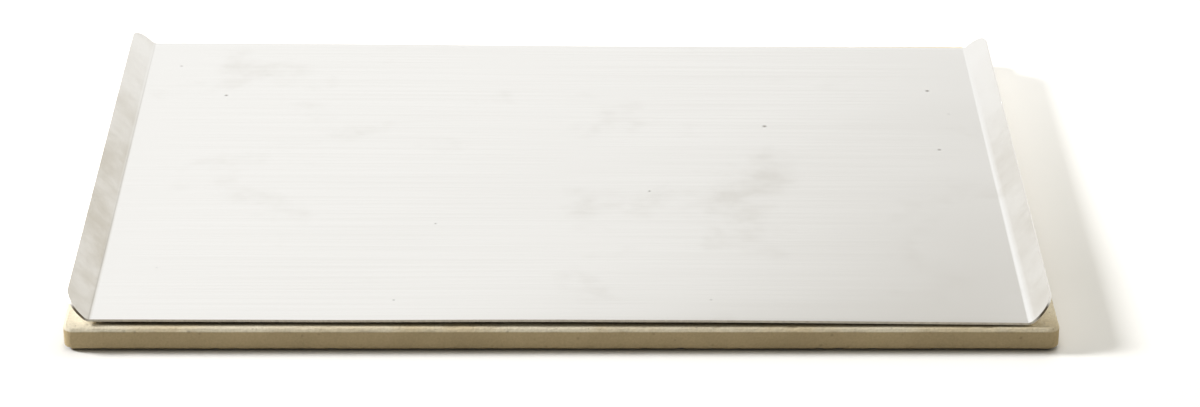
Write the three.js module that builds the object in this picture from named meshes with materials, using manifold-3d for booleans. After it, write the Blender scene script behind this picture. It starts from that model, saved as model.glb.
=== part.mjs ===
// A rectangular pizza stone with its loose serving tray.
// Millimetres, +Z up. The origin is the centre of the stone's underside,
// +X runs along the long side and -Y is the front.

import * as THREE from "three";
import { mergeVertices } from "three/addons/utils/BufferGeometryUtils.js";
import Module from "manifold-3d";

const wasm = await Module();
wasm.setup();

// Stone: a slab with rounded corners and chamfered top and bottom edges
const STONE_WIDTH = 440;
const STONE_DEPTH = 300;
const STONE_THICKNESS = 10.5;
const STONE_CORNER_RADIUS = 5;
const STONE_CHAMFER = 1.25;

// Tray: one sheet with a lip folded up along each short side
const SHEET_THICKNESS = 1.2;
const FOLD_INSET = 12; // from the stone's short side in to the fold line
const END_INSET = 5; // from the stone's long side in to the cut end of the sheet
const LIP_LENGTH = 13.2; // from the fold line to the free edge, along the lip's upper face
const LIP_RISE_DEG = 46; // how steeply the lip rises from the floor
const FOLD_RADIUS = 3; // inside the fold
const LIP_CORNER_RADIUS = 11;

// Clearance between the stone's top and the tray lying on it
const SEAT_GAP = 0.3;

// Fineness of the round stretches
const CORNER_STEPS = 8;
const FOLD_STEPS = 5;

const TRAY_DEPTH = STONE_DEPTH - 2 * END_INSET;
const FOLD_X = STONE_WIDTH / 2 - FOLD_INSET;
const LIP_RISE = THREE.MathUtils.degToRad(LIP_RISE_DEG);

const stoneMaterial = new THREE.MeshStandardMaterial({
  color: 0xcdbd98,
  roughness: 0.9,
  metalness: 0,
});

const trayMaterial = new THREE.MeshStandardMaterial({
  color: 0xdcdad4,
  roughness: 0.35,
  metalness: 1,
});

// Turns a closed geometry into a solid that can be cut.
function solidOf(geometry) {
  const bare = geometry.clone();
  bare.deleteAttribute("normal");
  bare.deleteAttribute("uv");
  const merged = mergeVertices(bare);
  return new wasm.Manifold(
    new wasm.Mesh({
      numProp: 3,
      vertProperties: new Float32Array(merged.attributes.position.array),
      triVerts: new Uint32Array(merged.index.array),
    }),
  );
}

// Turns a cut solid back into a geometry.
function geometryOf(solid) {
  const mesh = solid.getMesh();
  const geometry = new THREE.BufferGeometry();
  geometry.setAttribute("position", new THREE.BufferAttribute(mesh.vertProperties, 3));
  geometry.setIndex(new THREE.BufferAttribute(mesh.triVerts, 1));
  geometry.computeVertexNormals();
  return geometry;
}

// Rectangle with rounded corners, centred on the origin.
function roundedRectangle(width, depth, radius) {
  const x = width / 2 - radius;
  const y = depth / 2 - radius;
  const shape = new THREE.Shape();
  shape.absarc(x, y, radius, 0, Math.PI / 2);
  shape.absarc(-x, y, radius, Math.PI / 2, Math.PI);
  shape.absarc(-x, -y, radius, Math.PI, 1.5 * Math.PI);
  shape.absarc(x, -y, radius, 1.5 * Math.PI, 2 * Math.PI);
  return shape;
}

// Slab standing on z = 0, with the same chamfer along its top and bottom edges.
function stoneGeometry() {
  const outline = roundedRectangle(STONE_WIDTH, STONE_DEPTH, STONE_CORNER_RADIUS);
  const slab = new THREE.ExtrudeGeometry(outline, {
    depth: STONE_THICKNESS - 2 * STONE_CHAMFER,
    curveSegments: CORNER_STEPS / 2,
    bevelThickness: STONE_CHAMFER,
    bevelSize: STONE_CHAMFER,
    bevelOffset: -STONE_CHAMFER,
    bevelSegments: 1,
  });
  return slab.translate(0, 0, STONE_CHAMFER);
}

// Section of the sheet across its folds, with its underside on z = 0.
function sheetSection() {
  const bendX = FOLD_X - FOLD_RADIUS * Math.tan(LIP_RISE / 2);
  const bendZ = SHEET_THICKNESS + FOLD_RADIUS;
  const outerRadius = FOLD_RADIUS + SHEET_THICKNESS;
  const down = -Math.PI / 2;
  const edgeX = FOLD_X + LIP_LENGTH * Math.cos(LIP_RISE);
  const edgeZ = SHEET_THICKNESS + LIP_LENGTH * Math.sin(LIP_RISE);
  const underX = edgeX + SHEET_THICKNESS * Math.sin(LIP_RISE);
  const underZ = edgeZ - SHEET_THICKNESS * Math.cos(LIP_RISE);

  const section = new THREE.Shape();
  section.absarc(bendX, bendZ, outerRadius, down, down + LIP_RISE);
  section.lineTo(underX, underZ);
  section.lineTo(edgeX, edgeZ);
  section.absarc(bendX, bendZ, FOLD_RADIUS, down + LIP_RISE, down, true);
  section.absarc(-bendX, bendZ, FOLD_RADIUS, down, down - LIP_RISE, true);
  section.lineTo(-edgeX, edgeZ);
  section.lineTo(-underX, underZ);
  section.absarc(-bendX, bendZ, outerRadius, down - LIP_RISE, down);
  return section;
}

// Waste cut from the end of a lip to round its corner. side is +1 on the right lip and
// -1 on the left, end is -1 at the front and +1 at the back.
function lipCornerWaste(side, end) {
  const spare = SHEET_THICKNESS;
  const centreU = LIP_LENGTH - LIP_CORNER_RADIUS;
  const centreY = end * (TRAY_DEPTH / 2 - LIP_CORNER_RADIUS);
  const tipU = LIP_LENGTH + spare;
  const tipY = end * (TRAY_DEPTH / 2 + spare);

  const waste = new THREE.Shape();
  waste.absarc(centreU, centreY, LIP_CORNER_RADIUS, 0, (end * Math.PI) / 2, end < 0);
  waste.lineTo(centreU, tipY);
  waste.lineTo(tipU, tipY);
  waste.lineTo(tipU, centreY);

  const through = 4 * SHEET_THICKNESS;
  const cutter = new THREE.ExtrudeGeometry(waste, {
    depth: through,
    curveSegments: CORNER_STEPS,
    bevelEnabled: false,
  });
  cutter.translate(0, 0, -through / 2);

  const up = new THREE.Vector3(side * Math.cos(LIP_RISE), 0, Math.sin(LIP_RISE));
  const along = new THREE.Vector3(0, 1, 0);
  const across = new THREE.Vector3().crossVectors(up, along);
  const lipPlane = new THREE.Matrix4().makeBasis(up, along, across);
  lipPlane.setPosition(side * FOLD_X, 0, SHEET_THICKNESS);
  return cutter.applyMatrix4(lipPlane);
}

// The folded sheet with its four lip corners rounded, lying on z = 0.
function trayGeometry() {
  const sheet = new THREE.ExtrudeGeometry(sheetSection(), {
    depth: TRAY_DEPTH,
    curveSegments: FOLD_STEPS,
    bevelEnabled: false,
  });
  sheet.rotateX(Math.PI / 2);
  sheet.translate(0, TRAY_DEPTH / 2, 0);

  let tray = solidOf(sheet);
  for (const side of [-1, 1]) {
    for (const end of [-1, 1]) {
      tray = tray.subtract(solidOf(lipCornerWaste(side, end)));
    }
  }
  return geometryOf(tray);
}

const stone = new THREE.Mesh(stoneGeometry(), stoneMaterial);
stone.name = "baking_stone";

const tray = new THREE.Mesh(trayGeometry(), trayMaterial);
tray.name = "serving_tray";
tray.position.z = STONE_THICKNESS + SEAT_GAP;

const pizzaStone = new THREE.Group();
pizzaStone.name = "pizza_stone";
pizzaStone.add(stone, tray);

export default pizzaStone;
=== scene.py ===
"""Looks of a pizza stone: the fired slab, the folded sheet tray that lies on it, and a plain studio."""

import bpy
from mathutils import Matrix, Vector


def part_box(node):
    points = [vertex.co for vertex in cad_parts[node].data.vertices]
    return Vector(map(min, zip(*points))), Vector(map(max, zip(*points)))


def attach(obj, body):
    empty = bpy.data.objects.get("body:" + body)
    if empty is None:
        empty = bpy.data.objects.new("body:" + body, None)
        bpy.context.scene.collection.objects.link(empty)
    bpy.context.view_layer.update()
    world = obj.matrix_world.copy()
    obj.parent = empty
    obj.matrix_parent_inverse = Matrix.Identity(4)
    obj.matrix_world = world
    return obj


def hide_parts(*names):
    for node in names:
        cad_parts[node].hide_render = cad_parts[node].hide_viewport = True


bl_info = {
    "name": "Pizza Stone and Serving Tray",
    "version": (1, 0, 0),
    "blender": (4, 5, 0),
    "location": "View3D > Sidebar > Pizza Stone",
    "description": "Models and finishes a baking stone and its serving tray, and sets up a studio",
    "category": "Add Mesh",
}

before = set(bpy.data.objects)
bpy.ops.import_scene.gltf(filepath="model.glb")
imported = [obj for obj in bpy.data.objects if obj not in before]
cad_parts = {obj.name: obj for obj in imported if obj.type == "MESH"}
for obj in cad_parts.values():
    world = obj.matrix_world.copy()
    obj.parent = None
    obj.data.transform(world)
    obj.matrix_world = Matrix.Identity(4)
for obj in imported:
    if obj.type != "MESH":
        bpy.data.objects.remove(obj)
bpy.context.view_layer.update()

import functools
import math

import bmesh
import bpy
from bpy.props import FloatProperty, FloatVectorProperty, PointerProperty
from mathutils import Vector

STONE_LOW, STONE_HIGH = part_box("baking_stone")
TRAY_LOW, TRAY_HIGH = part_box("serving_tray")
NEARLY = 1e-5  # metres, for picking what lies on a plane


class StoneSettings(bpy.types.PropertyGroup):
    """Sizes and colours of the fired slab"""

    corner_radius: FloatProperty(
        name="Corner radius",
        description="Rounding of the four corners, seen from above",
        default=0.005,
        unit="LENGTH",
    )
    chamfer: FloatProperty(
        name="Chamfer",
        description="Slanted strip along the top and bottom edges",
        default=0.00125,
        unit="LENGTH",
    )
    rim_width: FloatProperty(
        name="Rim width",
        description="Width of the finely divided strip inside the top and bottom edges",
        default=0.0025,
        unit="LENGTH",
    )
    wander: FloatProperty(
        name="Edge wander",
        description="How far the pressed edges run in and out of line",
        default=0.0003,
        unit="LENGTH",
    )
    nick_depth: FloatProperty(
        name="Nick depth",
        description="Depth of the small nicks along the edges",
        default=0.0004,
        unit="LENGTH",
    )
    pale_colour: FloatVectorProperty(
        name="Pale body",
        description="Colour of the paler patches of the fired body",
        default=(0.86, 0.785, 0.62),
        subtype="COLOR",
        size=3,
    )
    dark_colour: FloatVectorProperty(
        name="Dark body",
        description="Colour of the darker patches of the fired body",
        default=(0.76, 0.645, 0.44),
        subtype="COLOR",
        size=3,
    )
    # Partly a baked stain and partly painted shade: the brown reaches to just under the tray's front
    # edge and darkens the gap there.
    baked_and_shaded_colour: FloatVectorProperty(
        name="Baked middle",
        description="Browner tone of the middle, inside the pale rim",
        default=(0.30, 0.22, 0.12),
        subtype="COLOR",
        size=3,
    )
    # Painted shade: the sides are coloured darker and browner than the top, for the shade they stand
    # in.
    side_shade_colour: FloatVectorProperty(
        name="Fired side",
        description="Browner tone of the sides",
        default=(0.545, 0.43, 0.25),
        subtype="COLOR",
        size=3,
    )
    # Painted shade: the dark tone along the foot stands in for the contact shade where the stone meets
    # the floor; the same colour also darkens the random streaks on the sides.
    foot_shade_and_streak_colour: FloatVectorProperty(
        name="Foot",
        description="Dark tone along the foot of the sides",
        default=(0.12, 0.085, 0.04),
        subtype="COLOR",
        size=3,
    )
    pore_colour: FloatVectorProperty(
        name="Pores",
        description="Colour of the pores and dark grains",
        default=(0.16, 0.12, 0.07),
        subtype="COLOR",
        size=3,
    )


class TraySettings(bpy.types.PropertyGroup):
    """Sizes and colours of the folded sheet"""

    sheet: FloatProperty(
        name="Sheet",
        description="Thickness of the sheet",
        default=0.0012,
        unit="LENGTH",
    )
    lip_length: FloatProperty(
        name="Lip length",
        description="From the fold line to the lip's free edge",
        default=0.0132,
        unit="LENGTH",
    )
    lip_rise: FloatProperty(
        name="Lip rise",
        description="How steeply the lips rise from the floor",
        default=math.radians(46),
        subtype="ANGLE",
    )
    fold_radius: FloatProperty(
        name="Fold radius",
        description="Radius inside the folds",
        default=0.003,
        unit="LENGTH",
    )
    corner_radius: FloatProperty(
        name="Lip corner radius",
        description="Rounding at the ends of the lips",
        default=0.011,
        unit="LENGTH",
    )
    cut_bevel: FloatProperty(
        name="Cut edge bevel",
        description="Softening of the sheet's cut edges",
        default=0.00012,
        unit="LENGTH",
    )
    offset: FloatVectorProperty(
        name="Off centre",
        description="How far the loose tray lies from the stone's middle",
        default=(-0.0007, -0.0014, 0.00015),
        subtype="TRANSLATION",
        size=3,
    )
    turn: FloatProperty(
        name="Out of square",
        description="How far the loose tray is turned on the stone",
        default=math.radians(0.22),
        subtype="ANGLE",
    )
    spring_front: FloatProperty(
        name="Spring, front left",
        description="How far the sheet's left side springs up from the stone",
        default=0.001,
        unit="LENGTH",
    )
    spring_back: FloatProperty(
        name="Spring, back left",
        description="How much more the back left corner springs up",
        default=0.00125,
        unit="LENGTH",
    )
    bow: FloatProperty(
        name="Bow",
        description="How far the middle of the front edge bows up",
        default=0.0005,
        unit="LENGTH",
    )
    ripple: FloatProperty(
        name="Ripple",
        description="Height of the slow waves in the thin sheet",
        default=0.00025,
        unit="LENGTH",
    )
    dent: FloatProperty(
        name="Lip dents",
        description="Height of the shallow dents along the lips",
        default=0.00018,
        unit="LENGTH",
    )
    metal_colour: FloatVectorProperty(
        name="Metal",
        description="Colour of the rolled metal",
        default=(0.94, 0.93, 0.90),
        subtype="COLOR",
        size=3,
    )
    # Real dull patches, and also painted shade on the left lip and the lips' front ends.
    smudge_and_shade_colour: FloatVectorProperty(
        name="Smudges",
        description="Colour of the dull patches left by use",
        default=(0.55, 0.505, 0.42),
        subtype="COLOR",
        size=3,
    )
    cut_colour: FloatVectorProperty(
        name="Cut edge",
        description="Colour of the sheared edge",
        default=(0.46, 0.43, 0.37),
        subtype="COLOR",
        size=3,
    )
    # Painted shade: the cut edge round the lips' ends is coloured dark, standing in for the shaded gap
    # under them.
    corner_shade_colour: FloatVectorProperty(
        name="Cut corners",
        description="Colour of the cut edge round the ends of the lips",
        default=(0.14, 0.115, 0.08),
        subtype="COLOR",
        size=3,
    )
    # Partly a heat stain and partly painted shade: the dark underside darkens the gap between the sheet
    # and the stone.
    stain_and_gap_shade_colour: FloatVectorProperty(
        name="Stained underside",
        description="Colour of the underside, darkened by the hot stone",
        default=(0.15, 0.118, 0.075),
        subtype="COLOR",
        size=3,
    )
    speck_colour: FloatVectorProperty(
        name="Specks",
        description="Colour of the small dark specks",
        default=(0.26, 0.24, 0.21),
        subtype="COLOR",
        size=3,
    )


class StudioSettings(bpy.types.PropertyGroup):
    """Camera, lamps and floor"""

    lens: FloatProperty(
        name="Lens",
        description="Focal length in millimetres",
        default=106.1,
    )
    shift: FloatProperty(
        name="Shift",
        description="Sideways shift of the picture",
        default=0.0421,
    )
    look_down: FloatProperty(
        name="Look down",
        description="How far the camera looks down from the horizon",
        default=math.radians(27.166),
        subtype="ANGLE",
    )
    camera_place: FloatVectorProperty(
        name="Camera place",
        description="Where the camera stands",
        default=(-0.0052, -1.5094, 0.7705),
        subtype="TRANSLATION",
        size=3,
    )
    floor_size: FloatProperty(
        name="Floor size",
        description="Side of the square floor",
        default=12.0,
        unit="LENGTH",
    )
    floor_drop: FloatProperty(
        name="Floor drop",
        description="Dark joint under the stone, which stands a little proud of the floor",
        default=0.0007,
        unit="LENGTH",
    )
    paper_colour: FloatVectorProperty(
        name="Paper",
        description="Colour of the paper floor",
        default=(0.90, 0.90, 0.89),
        subtype="COLOR",
        size=3,
    )
    key_power: FloatProperty(
        name="Key lamp",
        description="Power of the soft lamp on the left, in watts",
        default=250.0,
    )
    key_place: FloatVectorProperty(
        name="Key lamp place",
        description="Where the lamp on the left stands",
        default=(-3.97, 0.70, 2.56),
        subtype="TRANSLATION",
        size=3,
    )
    key_size: FloatProperty(
        name="Key lamp size",
        description="Side of the lamp on the left",
        default=1.0,
        unit="LENGTH",
    )
    top_power: FloatProperty(
        name="Top lamp",
        description="Power of the soft lamp above and behind the stone, in watts",
        default=2.4,
    )
    top_place: FloatVectorProperty(
        name="Top lamp place",
        description="Where the lamp above and behind the stone hangs",
        default=(0.36, 0.46, 0.90),
        subtype="TRANSLATION",
        size=3,
    )
    top_size: FloatProperty(
        name="Top lamp size",
        description="Side of the lamp above and behind the stone",
        default=0.5,
        unit="LENGTH",
    )
    front_colour: FloatVectorProperty(
        name="Light from the front",
        description="Soft light from the camera's side",
        default=(0.05, 0.048, 0.042),
        subtype="COLOR",
        size=3,
    )
    rear_colour: FloatVectorProperty(
        name="Light from behind",
        description="Soft light from above, behind and the right",
        default=(0.70, 0.66, 0.555),
        subtype="COLOR",
        size=3,
    )
    ceiling_colour: FloatVectorProperty(
        name="Ceiling",
        description="Colour of the surroundings between the backdrop and the screen",
        default=(0.37, 0.345, 0.295),
        subtype="COLOR",
        size=3,
    )
    room_colour: FloatVectorProperty(
        name="Room",
        description="Colour of the room beside and in front of the stone, as the tray mirrors it",
        default=(0.62, 0.61, 0.585),
        subtype="COLOR",
        size=3,
    )
    screen_colour: FloatVectorProperty(
        name="Screen",
        description="Colour of the pale screen straight overhead",
        default=(0.80, 0.79, 0.77),
        subtype="COLOR",
        size=3,
    )
    floor_lift: FloatProperty(
        name="Floor lift",
        description="How much whiter the floor looks in front than the lamps alone make it",
        default=0.17,
    )
    back_lift: FloatProperty(
        name="Back lift",
        description="How much whiter the floor looks behind the stone than the lamps alone make it",
        default=0.38,
    )


def start_piece(name, add_primitive, size, place):
    """Adds a unit primitive by itself, opens it for editing, and sets its size and place."""
    bpy.ops.object.select_all(action="DESELECT")
    add_primitive()
    piece = bpy.context.object
    piece.name = name
    piece.data.name = name
    bpy.ops.object.mode_set(mode="EDIT")
    bpy.ops.transform.resize(value=(*size, 1))
    bpy.ops.transform.translate(value=place)
    return piece


def pick(piece, kind, passes):
    """Selects the VERT, EDGE or FACE parts of the piece being edited that pass a test."""
    bpy.ops.mesh.select_mode(type=kind)
    bpy.ops.mesh.select_all(action="DESELECT")
    mesh = bmesh.from_edit_mesh(piece.data)
    parts = {"VERT": mesh.verts, "EDGE": mesh.edges, "FACE": mesh.faces}[kind]
    for part in parts:
        if passes(part):
            part.select_set(True)
    bmesh.update_edit_mesh(piece.data)


def middle(edge):
    """The point halfway along an edge."""
    return (edge.verts[0].co + edge.verts[1].co) / 2


def span(edge, axis):
    """How far an edge runs along x, y or z."""
    return abs(getattr(edge.verts[0].co, axis) - getattr(edge.verts[1].co, axis))


def group_picked(piece, name):
    """Puts the selected vertices in a new vertex group."""
    bpy.ops.object.vertex_group_add()
    piece.vertex_groups.active.name = name
    bpy.ops.object.vertex_group_assign()


def raise_picked(height, falloff, reach):
    """Raises the selected vertices, and those within reach by less."""
    bpy.ops.transform.translate(
        value=(0, 0, height),
        use_proportional_edit=True,
        proportional_edit_falloff=falloff,
        proportional_size=reach,
    )


def add_modifier(piece, kind, **values):
    """Adds a modifier, sets its values and applies it."""
    bpy.ops.object.modifier_add(type=kind)
    modifier = piece.modifiers[-1]
    for name, value in values.items():
        setattr(modifier, name, value)
    bpy.ops.object.modifier_apply(modifier=modifier.name)


def cloud_texture(name, size, contrast=1.0, brightness=1.0):
    """A cloudy texture that displaces a mesh; size is in metres."""
    texture = bpy.data.textures.new(name, "CLOUDS")
    texture.noise_scale = size
    texture.contrast = contrast
    texture.intensity = brightness
    texture.use_clamp = True
    return texture


def give_materials(piece, *materials):
    """Gives the piece its material slots, in order."""
    for material in materials:
        piece.data.materials.append(material)


def link(tree, source, target):
    """Links an output socket to an input socket."""
    tree.links.new(source, target)


def feed(tree, value, target):
    """Gives an input socket its value, which is an output socket or a plain number."""
    if isinstance(value, bpy.types.NodeSocket):
        link(tree, value, target)
    else:
        target.default_value = value


def add_node(tree, kind, **values):
    """Adds a node. A value's name is an input's name, with _ for a space, or a property's name."""
    node = tree.nodes.new(kind)
    for name, value in values.items():
        socket = node.inputs.get(name.replace("_", " "))
        if hasattr(node, name):
            setattr(node, name, value)
        elif socket is not None:
            socket.default_value = value
        else:
            raise KeyError(f"{kind} has no {name}")
    return node


def new_material(name):
    """A material with only its output and a Principled BSDF."""
    material = bpy.data.materials.new(name)
    material.use_nodes = True
    tree = material.node_tree
    tree.nodes.clear()
    shader = tree.nodes.new("ShaderNodeBsdfPrincipled")
    output = tree.nodes.new("ShaderNodeOutputMaterial")
    link(tree, shader.outputs["BSDF"], output.inputs["Surface"])
    return material, tree, shader


def new_group(name, inputs, outputs):
    """A shader node group with float inputs, a vector input and float outputs."""
    tree = bpy.data.node_groups.new(name, "ShaderNodeTree")
    tree.interface.new_socket("Vector", in_out="INPUT", socket_type="NodeSocketVector")
    for socket in inputs:
        tree.interface.new_socket(socket, in_out="INPUT", socket_type="NodeSocketFloat")
    for socket in outputs:
        tree.interface.new_socket(socket, in_out="OUTPUT", socket_type="NodeSocketFloat")
    return tree, tree.nodes.new("NodeGroupInput"), tree.nodes.new("NodeGroupOutput")


@functools.cache
def blotch_group():
    """Soft cloudy patches: Mask goes from 0 to 1 as the noise goes from Low to High."""
    tree, given, result = new_group("Blotches", ["Scale", "Detail", "Low", "High"], ["Mask"])
    noise = add_node(tree, "ShaderNodeTexNoise", Roughness=0.6)
    fade = add_node(tree, "ShaderNodeMapRange", interpolation_type="SMOOTHSTEP")
    link(tree, given.outputs["Vector"], noise.inputs["Vector"])
    link(tree, given.outputs["Scale"], noise.inputs["Scale"])
    link(tree, given.outputs["Detail"], noise.inputs["Detail"])
    link(tree, noise.outputs["Fac"], fade.inputs["Value"])
    link(tree, given.outputs["Low"], fade.inputs["From Min"])
    link(tree, given.outputs["High"], fade.inputs["From Max"])
    link(tree, fade.outputs["Result"], result.inputs["Mask"])
    return tree


@functools.cache
def speck_group():
    """Scattered specks: Share of the cells hold one, up to as wide as Size in cell widths."""
    tree, given, result = new_group("Specks", ["Scale", "Share", "Size"], ["Mask"])
    cells = add_node(tree, "ShaderNodeTexVoronoi")
    shade = add_node(tree, "ShaderNodeSeparateColor")
    fade = add_node(tree, "ShaderNodeMapRange", interpolation_type="SMOOTHSTEP", To_Min=1.0, To_Max=0.0)
    link(tree, given.outputs["Vector"], cells.inputs["Vector"])
    link(tree, given.outputs["Scale"], cells.inputs["Scale"])
    link(tree, cells.outputs["Color"], shade.inputs["Color"])
    chosen = calculate(tree, "LESS_THAN", shade.outputs["Red"], given.outputs["Share"])
    link(tree, cells.outputs["Distance"], fade.inputs["Value"])
    link(tree, times(tree, given.outputs["Size"], shade.outputs["Green"]), fade.inputs["From Max"])
    link(tree, times(tree, chosen, fade.outputs["Result"]), result.inputs["Mask"])
    return tree


def place_group(tree, build, vector, **values):
    """Places a shared node group in a material, with its own values, and gives its mask."""
    node = tree.nodes.new("ShaderNodeGroup")
    node.node_tree = build()
    link(tree, vector, node.inputs["Vector"])
    for name, value in values.items():
        node.inputs[name].default_value = value
    return node.outputs["Mask"]


def object_place(tree):
    """The place on the object, and its X, Y and Z."""
    place = add_node(tree, "ShaderNodeTexCoord").outputs["Object"]
    along = add_node(tree, "ShaderNodeSeparateXYZ")
    link(tree, place, along.inputs["Vector"])
    return place, along.outputs


def mapped(tree, place, **values):
    """The place, moved by Location or stretched by Scale."""
    node = add_node(tree, "ShaderNodeMapping", **values)
    link(tree, place, node.inputs["Vector"])
    return node.outputs["Vector"]


def calculate(tree, operation, *values):
    """Result of a Math node on values that are each a socket or a plain number."""
    node = add_node(tree, "ShaderNodeMath", operation=operation)
    for socket, value in zip(node.inputs, values):
        feed(tree, value, socket)
    return node.outputs["Value"]


def plus(tree, first, second):
    """Sum of two values."""
    return calculate(tree, "ADD", first, second)


def times(tree, first, second):
    """Product of two values."""
    return calculate(tree, "MULTIPLY", first, second)


def ramp(tree, value, low, high, out_low=0.0, out_high=1.0):
    """Maps a value from low..high to out_low..out_high, and stops at the ends."""
    node = add_node(tree, "ShaderNodeMapRange")
    node.inputs["From Min"].default_value = low
    node.inputs["From Max"].default_value = high
    node.inputs["To Min"].default_value = out_low
    node.inputs["To Max"].default_value = out_high
    link(tree, value, node.inputs["Value"])
    return node.outputs["Result"]


def between(tree, mask, none, full):
    """Goes from one number to another as a mask goes from 0 to 1."""
    return ramp(tree, mask, 0, 1, none, full)


def invert(tree, mask):
    """1 where a mask is 0, and 0 where it is 1."""
    return between(tree, mask, 1.0, 0.0)


def below(tree, value, limit, fade, most=1.0):
    """The most where a value is well below a limit, and 0 above it."""
    return ramp(tree, value, limit - fade, limit, most, 0.0)


def inside(tree, value, limit, fade):
    """1 where a coordinate is well within -limit..limit, and 0 outside it."""
    return below(tree, calculate(tree, "ABSOLUTE", value), limit, fade)


def beyond(tree, value, limit, fade):
    """1 where a coordinate is outside -limit..limit, and 0 well within it."""
    return invert(tree, inside(tree, value, limit, fade))


def mix_colour(tree, factor, below_colour, above_colour):
    """Mixes two colours, each a socket or a plain colour, by a factor socket."""
    node = add_node(tree, "ShaderNodeMix", data_type="RGBA")
    link(tree, factor, node.inputs["Factor"])
    sockets = [s for s in node.inputs if s.type == "RGBA"]
    for socket, colour in zip(sockets, (below_colour, above_colour)):
        plain = not isinstance(colour, bpy.types.NodeSocket)
        feed(tree, (*colour, 1.0) if plain else colour, socket)
    return next(s for s in node.outputs if s.type == "RGBA")


def paint(tree, shader, base, *layers):
    """Lays colours over a base colour, each by its own mask, as the shader's Base Color."""
    colour = base
    for mask, layer in layers:
        colour = mix_colour(tree, mask, colour, layer)
    link(tree, colour, shader.inputs["Base Color"])


def add_bump(tree, shader, height, **values):
    """Bumps the shader's surface by a height."""
    bump = add_node(tree, "ShaderNodeBump", **values)
    link(tree, height, bump.inputs["Height"])
    link(tree, bump.outputs["Normal"], shader.inputs["Normal"])


def cordierite(settings):
    """Fired cordierite: sandy beige, mottled and porous; the middle is browner, partly a baked stain
    and partly painted shade under the tray's edge; painted shade darkens the sides and the foot.
    """
    middle_x = STONE_HIGH.x - 0.006
    middle_x_fade = 0.016
    # The brown's front and back edge lies just under the tray's edge, as painted shade that darkens the
    # gap under it.
    middle_y = STONE_HIGH.y - 0.0035
    middle_y_fade = 0.0025
    side_shade_top = STONE_HIGH.z - 0.0011
    side_shade_fade = 0.0006
    foot_shade_top = STONE_LOW.z + 0.0011
    foot_shade_fade = 0.0008
    foot_shade_strength = 0.8
    ragged_strength = 0.7
    brown_stain_and_shade_strength = 0.75
    streak_strength = 0.16
    grain_strength = 0.16
    pore_strength = 0.4

    material, tree, shader = new_material("fired_cordierite")
    place, along = object_place(tree)
    moved = mapped(tree, place, Location=(0.06, 0, 0))
    patches = place_group(tree, blotch_group, moved, Scale=24, Detail=5, Low=0.38, High=0.68)
    baked = place_group(tree, blotch_group, place, Scale=9, Detail=4, Low=0.2, High=0.6)
    grain = place_group(tree, blotch_group, place, Scale=900, Detail=3, Low=0.3, High=0.7)
    pores = place_group(tree, speck_group, place, Scale=420, Share=0.2, Size=0.5)

    within_x = inside(tree, along["X"], middle_x, middle_x_fade)
    within_y = inside(tree, along["Y"], middle_y, middle_y_fade)
    within = times(tree, within_x, within_y)
    ragged = plus(tree, within, times(tree, baked, ragged_strength))
    # Baked stain and painted shade under the tray's edge, in one mask.
    brown_stain_and_shade = ramp(tree, ragged, low=0.7, high=1.5, out_low=0, out_high=brown_stain_and_shade_strength)
    rim = invert(tree, within)
    # Painted shade: the sides below the top chamfer take the darker side colour.
    side = times(tree, below(tree, along["Z"], side_shade_top, side_shade_fade), rim)
    # Painted contact shade along the foot of the sides.
    foot_shade = times(tree, below(tree, along["Z"], foot_shade_top, foot_shade_fade, foot_shade_strength), rim)
    streaks = times(tree, side, between(tree, patches, 0, streak_strength))
    paint(
        tree,
        shader,
        settings.pale_colour,
        (patches, settings.dark_colour),
        (brown_stain_and_shade, settings.baked_and_shaded_colour),
        (side, settings.side_shade_colour),
        (streaks, settings.foot_shade_and_streak_colour),
        (foot_shade, settings.foot_shade_and_streak_colour),
        (between(tree, grain, 0, grain_strength), settings.pore_colour),
        (between(tree, pores, 0, pore_strength), settings.pore_colour),
    )
    shader.inputs["Roughness"].default_value = 0.92
    shader.inputs["Specular IOR Level"].default_value = 0.25
    add_bump(tree, shader, calculate(tree, "SUBTRACT", grain, pores), Strength=0.35, Distance=0.0003)
    return material


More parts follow.
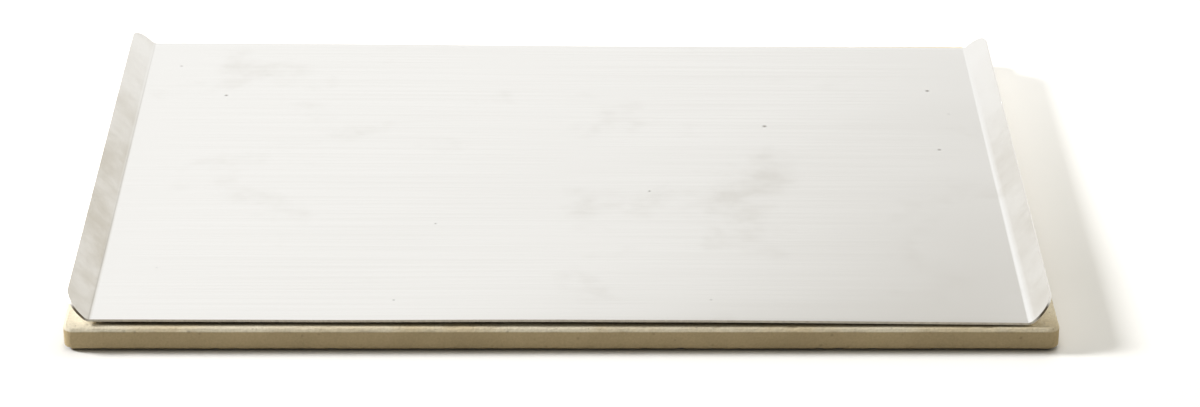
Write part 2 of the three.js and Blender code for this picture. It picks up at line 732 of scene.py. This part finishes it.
def mill_aluminium(settings):
    """Mill-finish aluminium: rolling lines along X, faint smudges, a few dark specks, and handling
    marks on the lips, painted stronger on the left lip and towards the front as painted shade.
    """
    lip_start = TRAY_HIGH.x - 0.009
    lip_fade = 0.002
    left_end = -0.2
    right_end = 0.2
    # Painted shade: the lips' marks are stronger on the left lip and towards the front, where the lips
    # look darker.
    left_mark_and_shade = 0.24
    mark_and_shade_middle = 0.0
    mark_and_shade_back = 0.12
    front_mark_and_shade = 0.48
    back_mark_and_shade = 0.1
    smudge_strength = 0.4
    line_strength = 0.06

    material, tree, shader = new_material("mill_aluminium")
    place, along = object_place(tree)
    rolled = mapped(tree, place, Scale=(5, 900, 5))
    gripped = mapped(tree, place, Location=(0.2, 0.11, 0))
    lines = place_group(tree, blotch_group, rolled, Scale=1, Detail=3, Low=0.25, High=0.75)
    smudges = place_group(tree, blotch_group, place, Scale=16, Detail=6, Low=0.55, High=0.95)
    dots = place_group(tree, speck_group, place, Scale=120, Share=0.06, Size=0.2)
    prints = place_group(tree, blotch_group, gripped, Scale=38, Detail=4, Low=0.3, High=0.7)

    lips = beyond(tree, along["X"], lip_start, lip_fade)
    left = ramp(tree, along["X"], left_end, right_end, left_mark_and_shade, 0.0)
    front = ramp(tree, along["Y"], mark_and_shade_middle, mark_and_shade_back, front_mark_and_shade, back_mark_and_shade)
    # Handling marks plus painted shade, in one mask.
    grip_and_shade = times(tree, lips, plus(tree, left, front))
    handled_and_shaded = times(tree, grip_and_shade, between(tree, prints, 0.75, 1.25))
    paint(
        tree,
        shader,
        settings.metal_colour,
        (handled_and_shaded, settings.smudge_and_shade_colour),
        (between(tree, smudges, 0, smudge_strength), settings.smudge_and_shade_colour),
        (between(tree, lines, 0, line_strength), settings.smudge_and_shade_colour),
        (dots, settings.speck_colour),
    )
    shader.inputs["Metallic"].default_value = 1.0
    roughness = plus(tree, between(tree, lines, 0.17, 0.20), between(tree, smudges, 0, 0.12))
    link(tree, roughness, shader.inputs["Roughness"])
    add_bump(tree, shader, lines, Strength=0.01, Distance=0.0001)
    return material


def sheared_edge(settings):
    """The sheet's cut edge: the same metal, torn dull by the shear, with fine upright marks; along the
    lips it keeps the bright metal colour as a painted highlight, and round the lips' ends it is painted
    dark as shade.
    """
    lip_start = TRAY_HIGH.x - 0.007
    lip_fade = 0.004
    # Where the painted shade round the lips' ends begins.
    end_shade_start = TRAY_HIGH.y - 0.0006
    end_shade_fade = 0.0025

    material, tree, shader = new_material("sheared_aluminium")
    place, along = object_place(tree)
    upright = mapped(tree, place, Scale=(1400, 1400, 120))
    marks = place_group(tree, blotch_group, upright, Scale=1, Detail=2, Low=0.3, High=0.7)
    lips = beyond(tree, along["X"], lip_start, lip_fade)
    end_shade = beyond(tree, along["Y"], end_shade_start, end_shade_fade)
    paint(
        tree,
        shader,
        settings.cut_colour,
        # Painted highlight: the lips' cut edges keep the bright metal colour, so they read as a bright
        # line.
        (lips, settings.metal_colour),
        # Painted shade round the lips' ends.
        (times(tree, lips, end_shade), settings.corner_shade_colour),
    )
    shader.inputs["Metallic"].default_value = 1.0
    link(tree, between(tree, marks, 0.55, 0.75), shader.inputs["Roughness"])
    add_bump(tree, shader, marks, Strength=0.2, Distance=0.0001)
    return material


def stained_and_shaded_underside(settings):
    """The sheet's underside: the same metal, dulled in patches and browned, partly as a heat stain and
    partly as painted shade that keeps the gap between the sheet and the stone dark.
    """
    stain_and_shade_end = TRAY_HIGH.x - 0.011
    stain_and_shade_fade = 0.006

    material, tree, shader = new_material("stained_and_shaded_aluminium")
    place, along = object_place(tree)
    patches = place_group(tree, blotch_group, place, Scale=20, Detail=5, Low=0.35, High=0.8)
    resting = inside(tree, along["X"], stain_and_shade_end, stain_and_shade_fade)
    # Heat stain and painted shade of the gap, in one mask.
    stain_and_shade = times(tree, between(tree, patches, 1.0, 0.7), resting)
    paint(tree, shader, settings.metal_colour, (stain_and_shade, settings.stain_and_gap_shade_colour))
    link(tree, between(tree, patches, 0.6, 0.35), shader.inputs["Roughness"])
    shader.inputs["Metallic"].default_value = 1.0
    return material


def seen_directly(tree):
    """1 for rays from the camera, a mirror-like surface or glass, and 0 for the rest."""
    path = add_node(tree, "ShaderNodeLightPath").outputs
    seen = calculate(tree, "MAXIMUM", path["Is Camera Ray"], path["Is Glossy Ray"])
    return calculate(tree, "MAXIMUM", seen, path["Is Transmission Ray"])


def white_floor(settings):
    """White paper floor that keeps shadows and looks white where nothing shades it; its glow is painted
    light, stronger behind the stone and far off, and it fades close to the stone as painted contact
    shade.
    """
    lift_front = -0.08
    lift_back = 0.13
    far_start = 0.45
    far_end = 1.2
    far_lift = 0.6
    contact_reach = 0.005
    contact_dark = 0.5
    contact_clear = 0.9

    material, tree, shader = new_material("white_paper")
    shader.inputs["Base Color"].default_value = (*settings.paper_colour, 1)
    shader.inputs["Roughness"].default_value = 1.0
    shader.inputs["Specular IOR Level"].default_value = 0.0
    place, along = object_place(tree)
    away = add_node(tree, "ShaderNodeVectorMath", operation="LENGTH")
    link(tree, place, away.inputs[0])
    # Painted light: the glow is stronger behind the stone, which lightens its shadow there.
    near = ramp(tree, along["Y"], lift_front, lift_back, settings.floor_lift, settings.back_lift)
    far = ramp(tree, away.outputs["Value"], far_start, far_end, 0, far_lift)
    # Painted contact shade: the glow fades where the stone is close.
    nearby = add_node(tree, "ShaderNodeAmbientOcclusion", samples=8, Distance=contact_reach)
    clear = ramp(tree, nearby.outputs["AO"], contact_dark, contact_clear)
    lift = times(tree, clear, plus(tree, near, far))
    glow = add_node(tree, "ShaderNodeEmission")
    link(tree, times(tree, seen_directly(tree), lift), glow.inputs["Strength"])
    both = add_node(tree, "ShaderNodeAddShader")
    link(tree, shader.outputs["BSDF"], both.inputs[0])
    link(tree, glow.outputs["Emission"], both.inputs[1])
    output = next(n for n in tree.nodes if n.type == "OUTPUT_MATERIAL")
    link(tree, both.outputs["Shader"], output.inputs["Surface"])
    return material


class PIZZASTONE_OT_stone(bpy.types.Operator):
    """Model the fired slab with its chamfered, slightly uneven edges"""

    bl_idname = "pizzastone.stone"
    bl_label = "Baking Stone"

    def execute(self, context):
        settings = context.scene.pizzastone_stone
        slab = self.press_slab(settings)
        self.wear_edges(slab, settings)
        bpy.ops.object.shade_smooth_by_angle(angle=math.radians(32))
        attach(slab, "stone")
        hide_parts("baking_stone")
        return {"FINISHED"}

    def press_slab(self, settings):
        """Makes the slab with its rounded corners and chamfers, divided finely along its edges."""
        corner_steps = 10
        straight_cuts = 100
        fine_cuts = 2
        fine = 0.0018
        sharp = math.radians(60)
        chamfer_steps = 4
        chamfer_profile = 0.3
        side_cuts = 4
        size = STONE_HIGH - STONE_LOW

        slab = start_piece(
            "stone_slab",
            lambda: bpy.ops.mesh.primitive_plane_add(size=1),
            (size.x, size.y),
            (0, 0, STONE_LOW.z),
        )
        give_materials(slab, cordierite(settings))
        bpy.ops.mesh.bevel(affect="VERTICES", offset=settings.corner_radius, segments=corner_steps)
        straight = 2 * settings.corner_radius
        pick(slab, "EDGE", lambda edge: edge.calc_length() > straight)
        bpy.ops.mesh.subdivide(number_cuts=straight_cuts)
        pick(slab, "EDGE", lambda edge: edge.calc_length() > fine)
        bpy.ops.mesh.subdivide(number_cuts=fine_cuts)
        bpy.ops.mesh.select_mode(type="FACE")
        bpy.ops.mesh.select_all(action="SELECT")
        bpy.ops.mesh.extrude_region_move(TRANSFORM_OT_translate={"value": (0, 0, size.z)})

        pick(slab, "EDGE", lambda edge: edge.calc_face_angle(0) > sharp)
        bpy.ops.mesh.bevel(
            affect="EDGES",
            offset=settings.chamfer,
            segments=chamfer_steps,
            profile=chamfer_profile,
        )
        upright = size.z / 3
        pick(slab, "EDGE", lambda edge: span(edge, "z") > upright)
        bpy.ops.mesh.subdivide(number_cuts=side_cuts)
        pick(slab, "FACE", lambda face: len(face.verts) > 4)
        bpy.ops.mesh.inset(thickness=settings.rim_width)
        return slab

    def wear_edges(self, slab, settings):
        """Lets the sides run out of line, and nicks the edges between them and the faces."""
        wander_size = 0.045
        nick_size = 0.005
        nick_contrast = 5.0
        # How upright a vertex's normal is, from 0 on the sides to 1 on the flat faces
        level = 0.999
        edge_low = 0.15
        edge_high = 0.97

        pick(slab, "VERT", lambda vert: abs(vert.normal.z) < level)
        group_picked(slab, "sides")
        pick(slab, "VERT", lambda vert: edge_low < abs(vert.normal.z) < edge_high)
        group_picked(slab, "edges")
        bpy.ops.object.mode_set(mode="OBJECT")
        add_modifier(
            slab,
            "DISPLACE",
            texture=cloud_texture("edge_wander", wander_size),
            vertex_group="sides",
            texture_coords="LOCAL",
            mid_level=1.0,
            strength=settings.wander,
        )
        add_modifier(
            slab,
            "DISPLACE",
            texture=cloud_texture("edge_nicks", nick_size, contrast=nick_contrast, brightness=0.0),
            vertex_group="edges",
            texture_coords="LOCAL",
            mid_level=0.0,
            strength=-settings.nick_depth,
        )


class PIZZASTONE_OT_tray(bpy.types.Operator):
    """Model the sheet tray: a flat floor with a lip folded up along each short side"""

    bl_idname = "pizzastone.tray"
    bl_label = "Serving Tray"

    def execute(self, context):
        settings = context.scene.pizzastone_tray
        rise = settings.lip_rise
        reach = settings.lip_length * math.cos(rise) + settings.sheet * math.sin(rise)
        fold_x = TRAY_HIGH.x - reach
        depth = TRAY_HIGH.y - TRAY_LOW.y
        tray = self.fold_sheet(settings, fold_x, depth)
        self.spring_sheet(tray, settings, fold_x, depth)
        self.finish_sheet(tray, settings)
        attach(tray, "tray")
        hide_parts("serving_tray")
        return {"FINISHED"}

    def fold_sheet(self, settings, fold_x, depth):
        """Makes the flat floor, folds the lips up from it and rounds their corners."""
        steps_across = 42
        steps_deep = 26
        fold_steps = 8
        corner_steps = 12
        lip_cuts = 5
        depth_cuts = 2
        rise = settings.lip_rise
        lip_out = settings.lip_length * math.cos(rise)
        lip_up = settings.lip_length * math.sin(rise)
        floor_top = TRAY_LOW.z + settings.sheet
        lip_top = floor_top + lip_up
        lip_foot = floor_top + 0.15 * settings.lip_length
        long_rise = settings.lip_length / 4
        long_step = settings.lip_length / 2

        tray = start_piece(
            "tray_sheet",
            lambda: bpy.ops.mesh.primitive_grid_add(
                x_subdivisions=steps_across,
                y_subdivisions=steps_deep,
                size=1,
            ),
            (2 * fold_x, depth),
            (0, 0, floor_top),
        )
        give_materials(
            tray,
            mill_aluminium(settings),
            sheared_edge(settings),
            stained_and_shaded_underside(settings),
        )
        for side in (-1, 1):
            pick(tray, "EDGE", lambda edge: side * middle(edge).x > fold_x - NEARLY)
            lip = (side * lip_out, 0, lip_up)
            bpy.ops.mesh.extrude_region_move(TRANSFORM_OT_translate={"value": lip})
        pick(
            tray,
            "EDGE",
            lambda edge: all(abs(abs(vert.co.x) - fold_x) < NEARLY for vert in edge.verts),
        )
        bpy.ops.mesh.bevel(
            affect="EDGES",
            offset=settings.fold_radius * math.tan(rise / 2),
            segments=fold_steps,
        )
        pick(
            tray,
            "VERT",
            lambda vert: vert.co.z > lip_top - NEARLY and abs(vert.co.y) > depth / 2 - NEARLY,
        )
        bpy.ops.mesh.bevel(affect="VERTICES", offset=settings.corner_radius, segments=corner_steps)

        pick(tray, "EDGE", lambda edge: span(edge, "z") > long_rise)
        bpy.ops.mesh.subdivide(number_cuts=lip_cuts)
        pick(tray, "EDGE", lambda edge: span(edge, "y") > long_step)
        bpy.ops.mesh.subdivide(number_cuts=depth_cuts)
        pick(tray, "VERT", lambda vert: vert.co.z > lip_foot)
        group_picked(tray, "lips")
        return tray

    def spring_sheet(self, tray, settings, fold_x, depth):
        """Springs the left side up, bows the front edge, and lays the tray a little off centre."""
        left = NEARLY - fold_x
        front = NEARLY - depth / 2
        back = depth / 2 - 0.02
        spring_reach = 2.02 * fold_x
        bow_middle = 0.03
        bow_half = 0.03
        bow_reach = 0.12

        pick(tray, "VERT", lambda vert: vert.co.x < left)
        raise_picked(settings.spring_front, "SPHERE", spring_reach)
        pick(tray, "VERT", lambda vert: vert.co.x < left and vert.co.y > back)
        raise_picked(settings.spring_back, "SMOOTH", depth)
        pick(tray, "VERT", lambda vert: vert.co.y < front and abs(vert.co.x - bow_middle) < bow_half)
        raise_picked(settings.bow, "SMOOTH", bow_reach)
        bpy.ops.mesh.select_all(action="SELECT")
        bpy.ops.transform.translate(value=settings.offset)
        bpy.ops.transform.rotate(value=settings.turn, orient_axis="Z", center_override=(0, 0, 0))
        bpy.ops.object.mode_set(mode="OBJECT")

    def finish_sheet(self, tray, settings):
        """Ripples and dents the sheet, gives it its thickness and softens its cut edges."""
        ripple_size = 0.11
        dent_size = 0.022
        bevel_steps = 2

        add_modifier(
            tray,
            "DISPLACE",
            texture=cloud_texture("sheet_ripple", ripple_size),
            texture_coords="LOCAL",
            direction="Z",
            mid_level=0.5,
            strength=settings.ripple,
        )
        add_modifier(
            tray,
            "DISPLACE",
            texture=cloud_texture("lip_dents", dent_size),
            vertex_group="lips",
            texture_coords="LOCAL",
            mid_level=0.5,
            strength=settings.dent,
        )
        add_modifier(
            tray,
            "SOLIDIFY",
            thickness=settings.sheet,
            offset=-1,
            use_even_offset=True,
            material_offset=2,
            material_offset_rim=1,
        )
        add_modifier(
            tray,
            "BEVEL",
            width=settings.cut_bevel,
            segments=bevel_steps,
            limit_method="ANGLE",
            angle_limit=math.radians(50),
        )
        bpy.ops.object.shade_smooth_by_angle(angle=math.radians(35))
        add_modifier(tray, "WEIGHTED_NORMAL", keep_sharp=True)


class PIZZASTONE_OT_studio(bpy.types.Operator):
    """Set up the white floor, the soft lamps, the surrounding light and the camera"""

    bl_idname = "pizzastone.studio"
    bl_label = "Studio"

    def execute(self, context):
        settings = context.scene.pizzastone_studio
        self.lay_floor(settings)
        self.light_surroundings(context.scene, settings)
        self.add_lamp("key_lamp", settings.key_place, settings.key_size, settings.key_power)
        top = self.add_lamp("top_lamp", settings.top_place, settings.top_size, settings.top_power)
        top.visible_glossy = False
        self.set_camera(context.scene, settings)
        context.scene.view_settings.view_transform = "Standard"
        return {"FINISHED"}

    def lay_floor(self, settings):
        """Lays the floor just under the stone."""
        place = (0, 0, -settings.floor_drop)
        bpy.ops.object.select_all(action="DESELECT")
        bpy.ops.mesh.primitive_plane_add(size=settings.floor_size, location=place)
        floor = bpy.context.object
        floor.name = "studio_floor"
        floor.data.materials.append(white_floor(settings))

    def light_surroundings(self, scene, settings):
        """White to look at, a backdrop and a room for the tray to mirror, and soft light elsewhere."""
        white = (1, 1, 1)
        right = (1, 0, 0)
        back = (0, 1, 0)
        up = (0, 0, 1)
        up_right = (0.66, 0, 1)
        rear_right = (0.8, 0.6, 0.4)

        world = bpy.data.worlds.new("white_studio")
        world.use_nodes = True
        scene.world = world
        tree = world.node_tree
        tree.nodes.clear()
        sky = add_node(tree, "ShaderNodeBackground")
        output = add_node(tree, "ShaderNodeOutputWorld")

        above = self.facing(tree, up_right, low=0.48, high=0.62)
        ahead = self.facing(tree, right, low=0.14, high=0.20, out_low=1.0, out_high=0.0)
        ceiling = mix_colour(tree, times(tree, above, ahead), white, settings.ceiling_colour)
        turned = self.facing(tree, back, low=0.35, high=0.80, out_low=1.0, out_high=0.0)
        raised = self.facing(tree, up, low=0.05, high=0.45, out_low=0.4, out_high=1.0)
        room = mix_colour(tree, times(tree, turned, raised), ceiling, settings.room_colour)
        straight_up = self.facing(tree, up, low=0.6, high=0.85)
        screened = mix_colour(tree, straight_up, room, settings.screen_colour)
        looking = add_node(tree, "ShaderNodeLightPath").outputs["Is Camera Ray"]
        mirrored = mix_colour(tree, looking, screened, white)
        behind = self.facing(tree, rear_right, low=-0.1, high=0.8)
        soft = mix_colour(tree, behind, settings.front_colour, settings.rear_colour)
        link(tree, mix_colour(tree, seen_directly(tree), soft, mirrored), sky.inputs["Color"])
        link(tree, sky.outputs["Background"], output.inputs["Surface"])

    def facing(self, tree, axis, **limits):
        """A ramp over how far a direction in the surroundings points along an axis."""
        direction = add_node(tree, "ShaderNodeTexCoord").outputs["Generated"]
        node = add_node(tree, "ShaderNodeVectorMath", operation="DOT_PRODUCT")
        link(tree, direction, node.inputs[0])
        node.inputs[1].default_value = axis
        return ramp(tree, node.outputs["Value"], **limits)

    def add_lamp(self, name, place, size, power):
        """Adds a square soft lamp that faces the stone."""
        lamp = bpy.data.lights.new(name, "AREA")
        lamp.size = size
        lamp.energy = power
        holder = bpy.data.objects.new(name, lamp)
        holder.location = place
        holder.rotation_euler = (-Vector(place)).to_track_quat("-Z", "Y").to_euler()
        bpy.context.scene.collection.objects.link(holder)
        return holder

    def set_camera(self, scene, settings):
        """Stands the camera in front, looking down along +Y."""
        lens = bpy.data.cameras.new("front_camera")
        lens.lens = settings.lens
        lens.shift_x = settings.shift
        camera = bpy.data.objects.new("front_camera", lens)
        camera.location = settings.camera_place
        camera.rotation_euler = (math.pi / 2 - settings.look_down, 0, 0)
        scene.collection.objects.link(camera)
        scene.camera = camera


class PIZZASTONE_PT_sidebar(bpy.types.Panel):
    """Sizes, colours and steps of the pizza stone"""

    bl_idname = "PIZZASTONE_PT_sidebar"
    bl_label = "Pizza Stone"
    bl_space_type = "VIEW_3D"
    bl_region_type = "UI"
    bl_category = "Pizza Stone"

    def draw(self, context):
        for step, settings in (
            (PIZZASTONE_OT_stone, context.scene.pizzastone_stone),
            (PIZZASTONE_OT_tray, context.scene.pizzastone_tray),
            (PIZZASTONE_OT_studio, context.scene.pizzastone_studio),
        ):
            box = self.layout.box()
            box.operator(step.bl_idname)
            for name in settings.__annotations__:
                box.prop(settings, name)


CLASSES = (
    StoneSettings,
    TraySettings,
    StudioSettings,
    PIZZASTONE_OT_stone,
    PIZZASTONE_OT_tray,
    PIZZASTONE_OT_studio,
    PIZZASTONE_PT_sidebar,
)


def register():
    for each in CLASSES:
        bpy.utils.register_class(each)
    bpy.types.Scene.pizzastone_stone = PointerProperty(type=StoneSettings)
    bpy.types.Scene.pizzastone_tray = PointerProperty(type=TraySettings)
    bpy.types.Scene.pizzastone_studio = PointerProperty(type=StudioSettings)


def unregister():
    del bpy.types.Scene.pizzastone_studio
    del bpy.types.Scene.pizzastone_tray
    del bpy.types.Scene.pizzastone_stone
    for each in reversed(CLASSES):
        bpy.utils.unregister_class(each)


def main():
    register()
    bpy.ops.pizzastone.stone()
    bpy.ops.pizzastone.tray()
    bpy.ops.pizzastone.studio()


if __name__ == "__main__":
    main()
